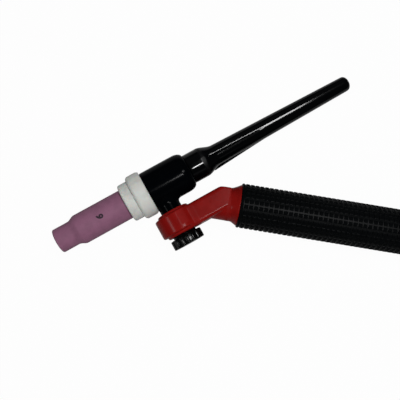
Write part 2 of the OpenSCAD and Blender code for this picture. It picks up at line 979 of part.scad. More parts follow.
module handle() {
  r = handle_d / 2;
  edge = 0.5;
  slope = 0.25;
  front = -handle_len;
  groove = ring_pitch - ring_w;
  groove_count = floor((handle_len - 2 * rim_len + ring_w) / ring_pitch);
  first = front + rim_len;
  color(grip_black)
    turned(concat(
      [[front, handle_bore_r]],
      arc([front + edge, r - edge], edge, 180, 90, 3),
      [for (i = [0:groove_count - 1])
        for (p = [[0, r], [slope, handle_root_r], [groove - slope, handle_root_r], [groove, r]])
          [first + i * ring_pitch + p[0], p[1]]],
      arc([-edge, r - edge], edge, 90, 0, 3),
      [[0, mouth_r], [-mouth_len, mouth_r], [-mouth_len, handle_bore_r]]
    ));
}

nozzle_cup();
cup_gasket();
collet_body();
collet();
electrode();
head_core();
head_cover();
back_cap();
cap_o_ring();
riser_tube();
valve_body();
valve_seat();
valve_stem();
stem_o_ring();
packing_nut();
valve_knob();
knob_screw();
neck_cover();
gas_tube();
cable_connector();
handle();
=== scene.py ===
"""Looks of an air-cooled TIG torch: its moulded shells, ceramic cup, studded grip and inner metal.

Lengths are in metres. Most pieces are built in the head's frame: X along the head towards the back cap,
Y away from the valve, Z up out of the torch's plane of symmetry.
"""

import json
import math

import bmesh
import bpy
import numpy as np
from mathutils import Matrix, Vector
from bpy.props import FloatProperty, FloatVectorProperty, IntProperty, PointerProperty


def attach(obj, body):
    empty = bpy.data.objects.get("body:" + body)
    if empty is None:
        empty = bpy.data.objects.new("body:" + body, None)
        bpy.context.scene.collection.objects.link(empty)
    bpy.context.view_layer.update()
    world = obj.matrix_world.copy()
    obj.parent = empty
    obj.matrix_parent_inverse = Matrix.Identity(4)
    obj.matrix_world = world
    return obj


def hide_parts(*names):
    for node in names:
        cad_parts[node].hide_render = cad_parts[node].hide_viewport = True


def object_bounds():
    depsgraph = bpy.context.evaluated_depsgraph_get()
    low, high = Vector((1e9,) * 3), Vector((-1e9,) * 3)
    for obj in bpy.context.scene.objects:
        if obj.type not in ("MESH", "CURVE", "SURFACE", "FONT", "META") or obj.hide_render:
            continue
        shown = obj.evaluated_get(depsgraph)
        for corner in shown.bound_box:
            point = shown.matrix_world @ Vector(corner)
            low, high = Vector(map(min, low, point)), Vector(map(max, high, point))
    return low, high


bl_info = {
    "name": "TIG torch looks",
    "version": (1, 0, 0),
    "blender": (4, 5, 0),
    "location": "3D View > Sidebar > Torch",
    "description": "Builds the visible pieces, finishes and stage of a TIG torch",
    "category": "Object",
}

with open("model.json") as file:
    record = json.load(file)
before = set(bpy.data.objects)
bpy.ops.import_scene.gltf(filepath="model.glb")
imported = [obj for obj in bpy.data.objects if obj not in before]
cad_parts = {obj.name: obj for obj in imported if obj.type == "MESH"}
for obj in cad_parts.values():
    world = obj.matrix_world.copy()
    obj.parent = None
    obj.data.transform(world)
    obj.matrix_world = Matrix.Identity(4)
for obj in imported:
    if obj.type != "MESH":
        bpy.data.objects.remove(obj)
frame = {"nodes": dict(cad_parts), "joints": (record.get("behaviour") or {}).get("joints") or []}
CAD_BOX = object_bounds()
MM = 0.001
JOINTS = {joint["name"]: joint for joint in frame["joints"]}


# ---- Frames of the torch, from its joints ----

UP = Vector((0, 0, 1))


def placed(origin, x_axis):
    """A frame at a point, with its X axis along a direction in the torch's plane and its Z axis up."""
    turn = Matrix((x_axis, UP.cross(x_axis), UP)).transposed().to_4x4()
    return Matrix.Translation(origin) @ turn


HEAD_AXIS = Vector(JOINTS["cap_turn"]["axis"]).normalized()
VALVE_AXIS = Vector(JOINTS["valve_turn"]["axis"]).normalized()
CAP_POINT = Vector(JOINTS["cap_turn"]["pos_m"])
HEAD_ORIGIN = CAP_POINT + HEAD_AXIS * (Vector(JOINTS["valve_turn"]["pos_m"]) - CAP_POINT).dot(HEAD_AXIS)
HEAD = placed(HEAD_ORIGIN, HEAD_AXIS)
VALVE = placed(HEAD_ORIGIN, VALVE_AXIS)
HANDLE = Matrix.Identity(4)


def reach(node, place=HEAD):
    """Lowest and highest corner of a CAD node in one of the torch's frames."""
    back = place.inverted()
    points = np.array([back @ v.co for v in frame["nodes"][node].data.vertices])
    return points.min(axis=0), points.max(axis=0)


def along(node, place=HEAD):
    """Where a CAD node starts and ends along a frame's X axis."""
    low, high = reach(node, place)
    return float(low[0]), float(high[0])


def radius_of(node, place=HEAD):
    """Largest radius of a turned CAD node about a frame's X axis."""
    return float(reach(node, place)[1][2])


# ---- Sizes and colours a user would change ----

def size(name, description, mm):
    return FloatProperty(name=name, description=description, default=mm * MM, min=0.0, unit="LENGTH", precision=5)


def colour(name, description, default):
    return FloatVectorProperty(name=name, description=description, default=default, min=0.0, max=1.0, size=3,
                               subtype="COLOR")


class TorchCup(bpy.types.PropertyGroup):
    nose_d: size("Nose diameter", "Diameter of the cup's nose", 14.1)
    nose_len: size("Nose length", "Length of the straight nose", 9.4)
    taper_len: size("Taper length", "Length of the taper behind the nose", 5.0)
    orifice_d: size("Orifice", "Diameter of the orifice", 9.5)
    bore_d: size("Thread bore", "Diameter of the threaded bore", 13.0)
    lip: size("Lip radius", "Rounding of the cup's two rims", 0.7)
    body: colour("Alumina", "Colour of the fired alumina", (0.262, 0.112, 0.184))
    ink: colour("Ink", "Colour of the printed size digit", (0.012, 0.008, 0.014))


class TorchShield(bpy.types.PropertyGroup):
    step_d: size("Small step", "Diameter of the small step", 22.4)
    step_len: size("Small step length", "Length of the small step", 5.8)
    pocket: size("Pocket depth", "Depth of the cup's seat", 4.1)
    body: colour("White", "Colour of the heat shield", (0.65, 0.66, 0.625))


class TorchHead(bpy.types.PropertyGroup):
    shoulder: size("Shoulder", "Length of the rounded rear shoulder", 5.2)
    rear_d: size("Rear diameter", "Diameter of the rear end", 17.4)
    stub_d: size("Stub diameter", "Diameter of the stub on the valve housing", 12.6)
    stub_fillet: size("Stub fillet", "Radius where the stub meets the head", 1.2)
    core_d: size("Core diameter", "Diameter of the brass core inside", 15.6)
    body: colour("Black", "Colour of the moulded head", (0.0006, 0.0010, 0.0015))


class TorchCap(bpy.types.PropertyGroup):
    band: size("Band", "Length of the straight band at the head", 8.3)
    shoulder: size("Shoulder", "Length of the shoulder behind the band", 9.8)
    neck_d: size("Neck diameter", "Diameter behind the shoulder", 12.0)
    tip_d: size("Tip diameter", "Diameter at the tip", 8.8)
    fins: IntProperty(name="Fins", description="Number of fins", default=3, min=1, max=8)
    fin_w: size("Fin thickness", "Thickness of a fin", 1.3)
    fin_start: size("Fin start", "Distance from the head to the fins", 13.0)
    fin_len: size("Fin length", "Length of the fins", 35.0)
    fin_crest: size("Fin crest", "Radius of the crest at the front end", 8.0)
    fin_turn: FloatProperty(name="Fin turn", description="Turn of the first fin from +Z", default=math.radians(4),
                            subtype="ANGLE")
    thread_d: size("Thread", "Diameter of the spigot's thread", 11.0)
    body: colour("Black", "Colour of the moulded cap", (0.0005, 0.0007, 0.0010))


class TorchNeck(bpy.types.PropertyGroup):
    barrel_d: size("Barrel diameter", "Diameter of the valve housing's barrel", 23.4)
    barrel_h: size("Barrel height", "Height of the barrel", 11.0)
    housing_h: size("Housing height", "Height of the valve housing", 14.0)
    land_d: size("Land diameter", "Diameter of the housing's two ends", 18.6)
    arm_h: size("Arm height", "Height of the arm", 12.6)
    arm_w: size("Arm width", "Width of the arm", 18.2)
    arm_sink: size("Arm sink", "How far the arm lies under the gas tube's axis", 0.5)
    arm_edge: size("Arm edge", "Radius of the arm's long edges", 2.2)
    run_d: size("Neck diameter", "Diameter of the round neck", 17.9)
    run_sink: size("Neck sink", "How far the round neck lies under the handle's axis", 0.9)
    spigot_d: size("Spigot", "Diameter of the spigot in the handle", 18.2)
    collar_len: size("Collar length", "Length of the flared collar", 6.0)
    collar_d: size("Collar diameter", "Diameter of the collar's rim", 23.0)
    hub_hole: size("Hub hole", "Diameter of the bore for the valve and its knob", 14.25)
    body: colour("Red", "Colour of the moulded neck", (0.212, 0.0062, 0.0050))


class TorchKnob(bpy.types.PropertyGroup):
    ribs: IntProperty(name="Ribs", description="Number of ribs", default=16, min=3, max=40)
    rib_h: size("Rib height", "Height of the ribs", 0.45)
    hub_d: size("Hub diameter", "Diameter of the hub", 13.65)
    thickness: size("Thickness", "Thickness of the knob's ribbed part", 5.3)
    body: colour("Black", "Colour of the knob", (0.0012, 0.0014, 0.0015))


class TorchGrip(bpy.types.PropertyGroup):
    pitch: size("Ring pitch", "Pitch of the rings of studs", 2.72)
    stud_len: size("Stud length", "Length of a stud along the handle", 1.6)
    rows: IntProperty(name="Rows", description="Number of rows of studs around the handle", default=26,
                      min=6, max=60)
    depth: size("Groove depth", "Depth of the grooves between the studs", 0.4)
    rim: size("Rim", "Length of the plain rim at each end", 1.2)
    mouth_d: size("Mouth diameter", "Diameter of the rear mouth", 20.4)
    mouth_len: size("Mouth depth", "Depth of the rear mouth", 20.0)
    bore_d: size("Bore", "Diameter of the bore", 18.3)
    body: colour("Black", "Colour of the grip", (0.0009, 0.0013, 0.0016))
    # Lighter colour of the grooves: a little dust, and painted light standing in for light caught in them.
    dust_and_painted_light: colour("Dust", "Colour of the dust in the grooves", (0.0026, 0.0031, 0.0034))


class TorchMetal(bpy.types.PropertyGroup):
    brass: colour("Brass", "Colour of the machined brass", (0.68, 0.45, 0.17))
    copper: colour("Copper", "Colour of the drawn copper", (0.66, 0.31, 0.18))
    tungsten: colour("Tungsten", "Colour of the ground tungsten", (0.36, 0.36, 0.38))
    steel: colour("Steel", "Colour of the plated steel", (0.55, 0.56, 0.58))
    seal: colour("Seal", "Colour of the rubber seals", (0.02, 0.024, 0.02))
    seat: colour("Seat", "Colour of the valve's PTFE seat", (0.6, 0.6, 0.57))


class TorchStage(bpy.types.PropertyGroup):
    floor: colour("Floor", "Colour of the floor under the torch", (0.60, 0.60, 0.60))
    shadow: FloatProperty(name="Shadow", description="How much of the floor's own shading the camera sees",
                          default=0.03, min=0, max=1, subtype="FACTOR")
    roll: FloatProperty(name="Roll", description="How far the torch is rolled over on to its cap",
                        default=math.radians(6.3), subtype="ANGLE")
    slope: FloatProperty(name="Slope", description="Turn of the handle in the picture",
                         default=math.radians(9.35), subtype="ANGLE")
    camera_distance: size("Camera distance", "Distance from the camera to the handle's axis", 294.7)
    aim_left: size("Aim to the left", "How far left of the handle's front end the camera aims", 22.015)
    aim_up: size("Aim upwards", "How far above the handle's front end the camera aims", 3.0)
    lens: FloatProperty(name="Lens", description="Focal length of the camera on a 36 mm sensor",
                        default=46.98, min=1)


GROUPS = {"torch_" + group.__name__.removeprefix("Torch").lower(): group for group in (
    TorchCup, TorchShield, TorchHead, TorchCap, TorchNeck, TorchKnob, TorchGrip, TorchMetal, TorchStage)}


# ---- Meshes ----

def arc(centre, radius, start, end, steps=6):
    """Points of an arc in the plane of (x, radius), in degrees."""
    angles = np.radians(np.linspace(start, end, steps + 1))
    return [(centre[0] + radius * math.cos(a), centre[1] + radius * math.sin(a)) for a in angles]


def s_curve(a, b, steps):
    """A smooth step from point a to point b, level at both ends."""
    return [(a[0] + (b[0] - a[0]) * t, a[1] + (b[1] - a[1]) * (1 - math.cos(math.pi * t)) / 2)
            for t in np.linspace(0, 1, steps + 1)]


def line(a, b, steps):
    """Points of a straight line from point a to point b."""
    return [(a[0] + (b[0] - a[0]) * t, a[1] + (b[1] - a[1]) * t) for t in np.linspace(0, 1, steps + 1)]


def put(name, data, place):
    """Links a new object with this data into the scene."""
    made = bpy.data.objects.new(name, data)
    bpy.context.scene.collection.objects.link(made)
    made.matrix_world = place
    return made


MERGE_DISTANCE = 0.001 * MM
SHORTEST_EDGE = 0.0001 * MM


def piece(name, points, faces, place, body, material, replaces, crease=40):
    """Makes an object from points in a frame's own axes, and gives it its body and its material."""
    mesh = bpy.data.meshes.new(name)
    mesh.from_pydata([tuple(p) for p in points], [], [tuple(int(i) for i in f) for f in faces])
    work = bmesh.new()
    work.from_mesh(mesh)
    bmesh.ops.remove_doubles(work, verts=work.verts, dist=MERGE_DISTANCE)
    bmesh.ops.dissolve_degenerate(work, edges=work.edges, dist=SHORTEST_EDGE)
    bmesh.ops.recalc_face_normals(work, faces=work.faces)
    work.to_mesh(mesh)
    work.free()
    mesh.shade_smooth()
    mesh.set_sharp_from_angle(angle=math.radians(crease))
    mesh.materials.append(material)
    made = put(name, mesh, place)
    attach(made, body)
    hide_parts(*replaces)


def grid_faces(rows, columns, close_rows=False):
    """Quads between rows of points that each close on themselves."""
    r = np.arange(rows if close_rows else rows - 1)[:, None]
    c = np.arange(columns)
    here, there = r * columns, (r + 1) % rows * columns
    ahead = (c + 1) % columns
    quads = np.stack([here + c, here + ahead, there + ahead, there + c], axis=-1)
    return quads.reshape(-1, 4)


def turned(profile, count, swell=None):
    """Points of a profile of (x, radius) turned about X. swell(x, radius, angle) gives the radius if it varies."""
    x, r = np.array(profile, float).T[:, :, None]
    x, r, a = np.broadcast_arrays(x, r, np.arange(count) * (2 * math.pi / count))
    radius = r if swell is None else swell(x, r, a)
    return np.stack([x, -radius * np.sin(a), radius * np.cos(a)], axis=-1).reshape(-1, 3)


THREAD_STEPS = 90
FLANK_SLOPE, CREST_SHARE = 2.6, 0.25
RUN_OUT_TURNS = 0.8


def thread(pitch, depth, start, end):
    """A swell for a right-hand thread between two places on X, running out at both ends."""
    def swell(x, r, a):
        phase = (x / pitch - a / (2 * math.pi)) % 1.0
        tooth = np.clip(np.abs(phase - 0.5) * FLANK_SLOPE - CREST_SHARE, 0, 1)
        fade = np.clip(np.minimum(x - start, end - x) / (RUN_OUT_TURNS * pitch), 0, 1)
        return r - depth * tooth * fade
    return swell


def turned_piece(name, profile, place, body, material, replaces,
                 count=160, swell=None, closed=True, crease=40):
    """A piece from a profile turned about its frame's X axis."""
    points = turned(profile, count, swell)
    faces = grid_faces(len(profile), count, close_rows=closed)
    piece(name, points, faces, place, body, material, replaces, crease)


# ---- Moulded forms: a distance field skinned with quads ----

def blend_min(a, b, radius):
    """Union of two fields with a fillet."""
    h = np.clip(0.5 + 0.5 * (b - a) / radius, 0, 1)
    return b + (a - b) * h - radius * h * (1 - h)


def blend_max(a, b, radius):
    """Intersection of two fields with a rounded edge."""
    return -blend_min(-a, -b, radius)


def eased(a, b, edge):
    """Distance to a bar whose two pairs of faces are at distances a and b, with this radius on its edges."""
    a, b = a + edge, b + edge
    return np.minimum(np.maximum(a, b), 0) + np.hypot(np.maximum(a, 0), np.maximum(b, 0)) - edge


def drum(axial, radial, low, high, radius, edge):
    """A cylinder with rounded rims."""
    return eased(np.abs(axial - (low + high) / 2) - (high - low) / 2, radial - radius, edge)


def turned_field(axial, radial, outline):
    """Distance to a closed outline of (axial, radial) points turned about its axis."""
    best = np.full(axial.shape, np.inf)
    inside = np.zeros(axial.shape, bool)
    for (x0, y0), (x1, y1) in zip(outline, outline[1:] + outline[:1]):
        dx, dy = x1 - x0, y1 - y0
        t = np.clip(((axial - x0) * dx + (radial - y0) * dy) / (dx * dx + dy * dy), 0, 1)
        best = np.minimum(best, np.hypot(axial - x0 - t * dx, radial - y0 - t * dy))
        if dy:
            inside ^= ((y0 > radial) != (y1 > radial)) & (axial < x0 + (radial - y0) * dx / dy)
    return np.where(inside, -best, best)


def skin(field, low, high, step):
    """Quads over the zero surface of a field, one point in each cell that it passes through."""
    axes = [np.arange(a - 2 * step, b + 3 * step, step) for a, b in zip(low, high)]
    value = field(*np.meshgrid(*axes, indexing="ij"))
    total = np.zeros((value.size, 3))
    hits = np.zeros(value.size)
    quads = []
    for axis in range(3):
        one, two = (axis + 1) % 3, (axis + 2) % 3
        first, second = [slice(None)] * 3, [slice(None)] * 3
        first[axis], second[axis] = slice(0, -1), slice(1, None)
        d0, d1 = value[tuple(first)], value[tuple(second)]
        spot = np.argwhere((d0 < 0) != (d1 < 0))
        d0, d1 = d0[tuple(spot.T)], d1[tuple(spot.T)]
        cross = spot.astype(float)
        cross[:, axis] += d0 / (d0 - d1)
        ring = []
        for one_back, two_back in ((0, 0), (1, 0), (1, 1), (0, 1)):
            cell = spot.copy()
            cell[:, one] -= one_back
            cell[:, two] -= two_back
            index = np.ravel_multi_index(tuple(cell.T), value.shape)
            np.add.at(total, index, cross)
            np.add.at(hits, index, 1)
            ring.append(index)
        quad = np.stack(ring, axis=1)
        quads.append(np.where((d0 < 0)[:, None], quad, quad[:, ::-1]))
    used, faces = np.unique(np.concatenate(quads), return_inverse=True)
    points = total[used] / hits[used][:, None] * step + np.array([a[0] for a in axes])
    return points, faces.reshape(-1, 4)


SETTLE_ROUNDS = 5
LEAST_SLOPE = 0.05


def settle(field, points, probe):
    """Pulls points on to the field's zero surface."""
    for _ in range(SETTLE_ROUNDS):
        value = field(*points.T)
        slope = np.stack([(field(*(points + d).T) - field(*(points - d).T)) / (2 * probe)
                          for d in np.eye(3) * probe], axis=1)
        length = np.maximum((slope ** 2).sum(axis=1), LEAST_SLOPE)
        points = points - slope * (value / length)[:, None]
    return points


def moulded(name, field, low, high, step, material, replaces):
    """A fixed piece in the head's frame from a field's zero surface, sampled at this step."""
    points, faces = skin(field, low, high, step)
    points = settle(field, points, 0.1 * step)
    piece(name, points, faces, HEAD, "torch", material, replaces, crease=55)


# ---- Finishes ----

def maths(operation, swap=False):
    """A method that adds a Math node of a wire and its other values, or of the values and then the wire."""
    def method(wire, *others):
        values = (*others, wire) if swap else (wire, *others)
        return wire.nodes.add("Math", {"operation": operation}, dict(enumerate(values)))
    return method


class Wire:
    """A socket in a node tree. Arithmetic on it adds Math nodes."""

    def __init__(self, nodes, socket):
        self.nodes, self.socket = nodes, socket

    __add__ = __radd__ = maths("ADD")
    __sub__, __rsub__ = maths("SUBTRACT"), maths("SUBTRACT", swap=True)
    __mul__ = __rmul__ = maths("MULTIPLY")
    __truediv__, __rtruediv__ = maths("DIVIDE"), maths("DIVIDE", swap=True)
    __pow__, __rpow__ = maths("POWER"), maths("POWER", swap=True)
    __lt__, __gt__ = maths("LESS_THAN"), maths("GREATER_THAN")
    __abs__ = maths("ABSOLUTE")
    low, high, angle_to = maths("MINIMUM"), maths("MAXIMUM"), maths("ARCTAN2")

    def between(self, low, high):
        """0 at low, 1 at high, smooth between."""
        return self.nodes.add("MapRange", {"interpolation_type": "SMOOTHSTEP"},
                              {"Value": self, "From Min": low, "From Max": high})


class Nodes:
    """A node tree under construction, of a material or of the world."""

    def __init__(self, owner):
        owner.use_nodes = True
        self.tree = owner.node_tree
        self.tree.nodes.clear()

    def add(self, kind, setup, inputs, output=0):
        """Adds a node of a kind, with its own settings and each input's value or wire. Gives one output's wire."""
        node = self.tree.nodes.new("ShaderNode" + kind)
        for key, value in setup.items():
            setattr(node, key, value)
        for key, value in inputs.items():
            self.feed(node, key, value)
        return Wire(self, node.outputs[output]) if node.outputs else None

    def feed(self, node, socket, value):
        """Sets or links one of a node's sockets."""
        if isinstance(value, Wire):
            self.tree.links.new(value.socket, node.inputs[socket])
        else:
            node.inputs[socket].default_value = value


class Finish(Nodes):
    """A material under construction: a Principled shader with procedural inputs."""

    def __init__(self, name, **fixed):
        self.material = bpy.data.materials.new(name)
        super().__init__(self.material)
        fixed = {key.replace("_", " "): value for key, value in fixed.items()}
        shader = self.add("BsdfPrincipled", {}, fixed)
        self.add("OutputMaterial", {}, {"Surface": shader})
        self.shader = shader.socket.node
        self.place = self.add("TexCoord", {}, {}, "Object")
        split = self.add("SeparateXYZ", {}, {"Vector": self.place})
        self.x, self.y, self.z = (Wire(self, s) for s in split.socket.node.outputs)

    def set(self, socket, value):
        """Sets or links one of the shader's own sockets."""
        self.feed(self.shader, socket, value)

    def noise(self, scale, detail=2.0, rough=0.5, vector=None):
        """Noise from 0 to 1, with this many bumps to a metre."""
        inputs = {"Vector": vector or self.place, "Scale": scale, "Detail": detail, "Roughness": rough}
        return self.add("TexNoise", {"noise_dimensions": "3D"}, inputs, "Fac")

    def specks(self, scale):
        """Distance to scattered points, with this many to a metre."""
        return self.add("TexVoronoi", {"feature": "F1"}, {"Vector": self.place, "Scale": scale}, "Distance")

    def mix(self, amount, a, b):
        """Colour a where amount is 0, b where it is 1."""
        a, b = (c if isinstance(c, Wire) else (*c, 1) for c in (a, b))
        return self.add("Mix", {"data_type": "RGBA"}, {"Factor": amount, 6: a, 7: b}, 2)

    def bump(self, height, distance, strength=1.0):
        self.set("Normal", self.add("Bump", {}, {"Height": height, "Distance": distance, "Strength": strength}))


def shade(tint, factor):
    """A colour made lighter or darker."""
    return tuple(min(1.0, c * factor) for c in tint)


DIGIT_ALONG = 27.55 * MM
DIGIT_SIDE = -0.35 * MM
DIGIT_RADIUS = 8.7 * MM


def alumina_finish(cup, tip, rear):
    """Fired pink alumina: mottled and matt, darker at the nose's rim, with painted shade just ahead of the shield
    where its face shades the cup, and its size digit printed on.
    """
    finish = Finish("fired_alumina", Specular_IOR_Level=0.16)
    body = cup.body
    pit_size, nose_dark_len, rear_painted_shade_len, rear_painted_shade_fade = 0.11, 0.9 * MM, 4.9 * MM, 0.7 * MM
    cloud = finish.noise(180, 3)
    grain = finish.noise(2600, 2)
    tint = finish.mix(cloud.between(0.35, 0.65), shade(body, 0.93), shade(body, 1.07))
    tint = finish.mix(grain.between(0.35, 0.75) * 0.5, tint, shade(body, 0.82))
    pits = finish.specks(900) < pit_size
    tint = finish.mix(pits * 0.35, tint, shade(body, 0.45))
    # Darker at the nose's rim, and painted shade near the rear, just ahead of the shield's face, where that face
    # shades the cup.
    rims = (finish.x - (tip + nose_dark_len)) / -nose_dark_len
    rims = rims.high((finish.x - (rear - rear_painted_shade_len)) / rear_painted_shade_fade).between(0, 1)
    tint = finish.mix(rims * 0.55, tint, shade(body, 0.45))
    u, v = digit_place(finish, tip)
    ink_edge = 0.12 * MM
    ink = printed_six(u, v).between(ink_edge, -ink_edge)
    tint = finish.mix(ink * 0.93, tint, cup.ink)
    finish.set("Base Color", tint)
    finish.set("Roughness", 0.54 + 0.12 * cloud - 0.1 * ink)
    finish.bump(grain + 0.5 * finish.noise(900, 1), 0.02 * MM, 0.5)
    return finish.material


def digit_place(finish, tip):
    """How far across and up a place on the cup is from the middle of the digit, whose top is towards the tip."""
    side = finish.y.angle_to(finish.z) * DIGIT_RADIUS
    return side - DIGIT_SIDE, (finish.x - (tip + DIGIT_ALONG)) * -1.0


def printed_six(u, v):
    """Distance from the strokes of a plain 6: a closed bowl below, and a stem that curves over at the top."""
    half_stroke, bowl_r, bowl_v = 0.50 * MM, 0.82 * MM, -0.75 * MM
    stem_r, stem_end = 2.2 * MM, 0.70 * MM
    bowl = abs((u ** 2 + (v - bowl_v) ** 2) ** 0.5 - bowl_r)
    stem_u = stem_r - bowl_r
    stem = abs(((u - stem_u) ** 2 + (v - bowl_v) ** 2) ** 0.5 - stem_r)
    stem = stem.high((v - bowl_v) * -1.0).high(u - stem_end)
    return bowl.low(stem) - half_stroke


def shield_finish(shield):
    """White PTFE, turned: waxy, faintly smudged, with fine tool marks."""
    finish = Finish("turned_ptfe", Specular_IOR_Level=0.22, Subsurface_Weight=0.12, Subsurface_Scale=0.6 * MM)
    body = shield.body
    smudge = finish.noise(240, 4, 0.6)
    tint = finish.mix(smudge.between(0.42, 0.72), shade(body, 1.03), shade(body, 0.90))
    tint = finish.mix((finish.specks(700) < 0.06) * 0.4, tint, shade(body, 0.6))
    drawn_out = finish.add("VectorMath", {"operation": "MULTIPLY"}, {0: finish.place, 1: (7000, 40, 40)})
    rings = finish.noise(1.0, 1, vector=drawn_out)
    finish.set("Base Color", tint)
    finish.set("Roughness", 0.42 + 0.2 * smudge)
    finish.bump(rings, 0.012 * MM, 0.6)
    return finish.material


def moulded_finish(name, body, gloss, specular, peel=0.010 * MM, dust_and_painted_light=0.25, wave=0.002 * MM):
    """Injection-moulded plastic: a faint orange peel, patches of rubbed gloss and a little dust."""
    finish = Finish(name, Specular_IOR_Level=specular)
    cloud = finish.noise(130, 3)
    rub = finish.noise(420, 4, 0.62)
    tint = finish.mix(cloud.between(0.3, 0.7), shade(body, 0.9), shade(body, 1.1))
    motes = (finish.specks(1500) < 0.05) * finish.noise(300, 1).between(0.45, 0.7)
    finish.tint = finish.mix(motes * dust_and_painted_light, tint, tuple(0.5 * c + 0.06 for c in body))
    finish.set("Base Color", finish.tint)
    finish.rough = gloss + 0.5 * gloss * (rub - 0.5) + 0.1 * motes
    finish.set("Roughness", finish.rough)
    skin_height = (finish.noise(1500, 2) + 0.25 * finish.noise(4200, 1)) * (0.55 * peel)
    finish.bump(skin_height + finish.noise(300, 1) * wave, 1.0)
    return finish


def grip_finish(grip, outer):
    """Moulded grip: its studs' tops rubbed matt, with a sheen, and its grooves coloured lighter: a little dust,
    and painted light standing in for light caught in the grooves.
    """
    finish = moulded_finish("grip_black", grip.body, 0.42, 0.045, peel=0.012 * MM, dust_and_painted_light=0.2)
    radius = (finish.y ** 2 + finish.z ** 2) ** 0.5
    top, flank, foot, bore_side = (outer - part * grip.depth for part in (0.04, 0.25, 0.8, 1.6))
    finish.set("Roughness", 0.80 - 0.42 * radius.between(top, flank))
    sunk = radius.between(flank, foot) * (radius > bore_side)
    # Lighter grooves: a little dust, and painted light standing in for light caught on the groove floors and
    # flanks, broken up by noise.
    dust_and_painted_light = finish.noise(700, 3, 0.6).between(0.25, 0.7) * 0.7 + 0.3
    finish.set("Base Color", finish.mix(sunk * dust_and_painted_light, finish.tint, grip.dust_and_painted_light))
    return finish.material


def metal_finish(name, tint, roughness, axis, marks=9000):
    """Machined metal with fine tool marks round an axis, and a trace of tarnish."""
    finish = Finish(name, Metallic=1.0)
    lengthwise = finish.add("VectorMath", {"operation": "DOT_PRODUCT"},
                            {0: finish.place, 1: tuple(axis)}, "Value")
    rings = finish.noise(1.0, 2, vector=finish.add("CombineXYZ", {}, {"X": lengthwise * marks}))
    tarnish = finish.noise(320, 4, 0.6).between(0.45, 0.8)
    finish.set("Base Color", finish.mix(tarnish * 0.6, tint, shade(tint, 0.6)))
    finish.set("Roughness", roughness + 0.12 * rings + 0.15 * tarnish)
    finish.bump(rings, 0.006 * MM, 0.5)
    return finish.material


def plain_finish(name, tint, roughness, scale):
    """Rubber or PTFE: soft mottling and a fine skin."""
    finish = Finish(name, Specular_IOR_Level=0.3)
    skin_noise = finish.noise(scale, 3)
    finish.set("Base Color", finish.mix(skin_noise.between(0.3, 0.7), shade(tint, 0.85), shade(tint, 1.15)))
    finish.set("Roughness", roughness + 0.15 * (skin_noise - 0.5))
    finish.bump(skin_noise, 0.01 * MM, 0.4)
    return finish.material


# ---- Operators, one for each piece or group of like pieces ----

class TORCH_OT_cup(bpy.types.Operator):
    """Build the alumina gas cup"""
    bl_idname = "torch.cup"
    bl_label = "Gas cup"

    def execute(self, context):
        cup = context.scene.torch_cup
        tip, rear = along("nozzle_cup")
        outer = radius_of("nozzle_cup")
        nose, lip, hole, bore = cup.nose_d / 2, cup.lip, cup.orifice_d / 2, cup.bore_d / 2
        nose_end = tip + cup.nose_len
        taper_end = nose_end + cup.taper_len
        cone_front, cone_rear = nose_end + 2 * MM, taper_end + 3 * MM
        ease, pitch, depth = 0.3 * MM, 1.27 * MM, 0.35 * MM
        profile = (
            [(cone_front, hole)]
            + arc((tip + ease, hole + ease), ease, 270, 180, 4)
            + arc((tip + lip, nose - lip), lip, 180, 90)
            + line((tip + lip, nose), (nose_end, nose), 3)[1:-1]
            + s_curve((nose_end, nose), (taper_end, outer), 16)
            + line((taper_end, outer), (rear - lip, outer), 6)[1:-1]
            + arc((rear - lip, outer - lip), lip, 90, 0)
            + [(x, bore) for x in np.linspace(rear, cone_rear, THREAD_STEPS)]
        )
        grooves = thread(pitch, -depth, cone_rear + 0.6 * MM, rear - 0.4 * MM)

        def inside(x, r, a):
            return np.where(np.isclose(r, bore), grooves(x, r, a), r)

        turned_piece("gas_cup", profile, HEAD, "cup", alumina_finish(cup, tip, rear), ("nozzle_cup",),
                     swell=inside)
        return {"FINISHED"}


class TORCH_OT_shield(bpy.types.Operator):
    """Build the white heat shield between the cup and the head"""
    bl_idname = "torch.shield"
    bl_label = "Heat shield"

    def execute(self, context):
        shield = context.scene.torch_shield
        front, rear = along("cup_gasket")
        big, small = radius_of("cup_gasket"), shield.step_d / 2
        step = front + shield.step_len
        pocket = radius_of("nozzle_cup") + 0.1 * MM
        bore = radius_of("collet_body") + 0.3 * MM
        floor = front + shield.pocket + 0.05 * MM
        ease, small_edge, big_edge = 0.25 * MM, 1.3 * MM, 2.0 * MM
        rear_edge = ((1.6 * MM, 0.0), (0.9 * MM, 0.15 * MM), (0.15 * MM, 0.65 * MM), (0.0, 0.85 * MM))
        profile = (
            [(rear, bore), (floor, bore), (floor, pocket), (front + ease, pocket), (front, pocket + ease)]
            + arc((front + small_edge, small - small_edge), small_edge, 180, 90, 8)
            + [(step - ease, small)]
            + arc((step - ease, small + ease), ease, 270, 360, 4)
            + arc((step + big_edge, big - big_edge), big_edge, 180, 90, 10)
            + [(rear - back, big - sink) for back, sink in rear_edge]
        )
        turned_piece("heat_shield", profile, HEAD, "gasket", shield_finish(shield), ("cup_gasket",))
        return {"FINISHED"}


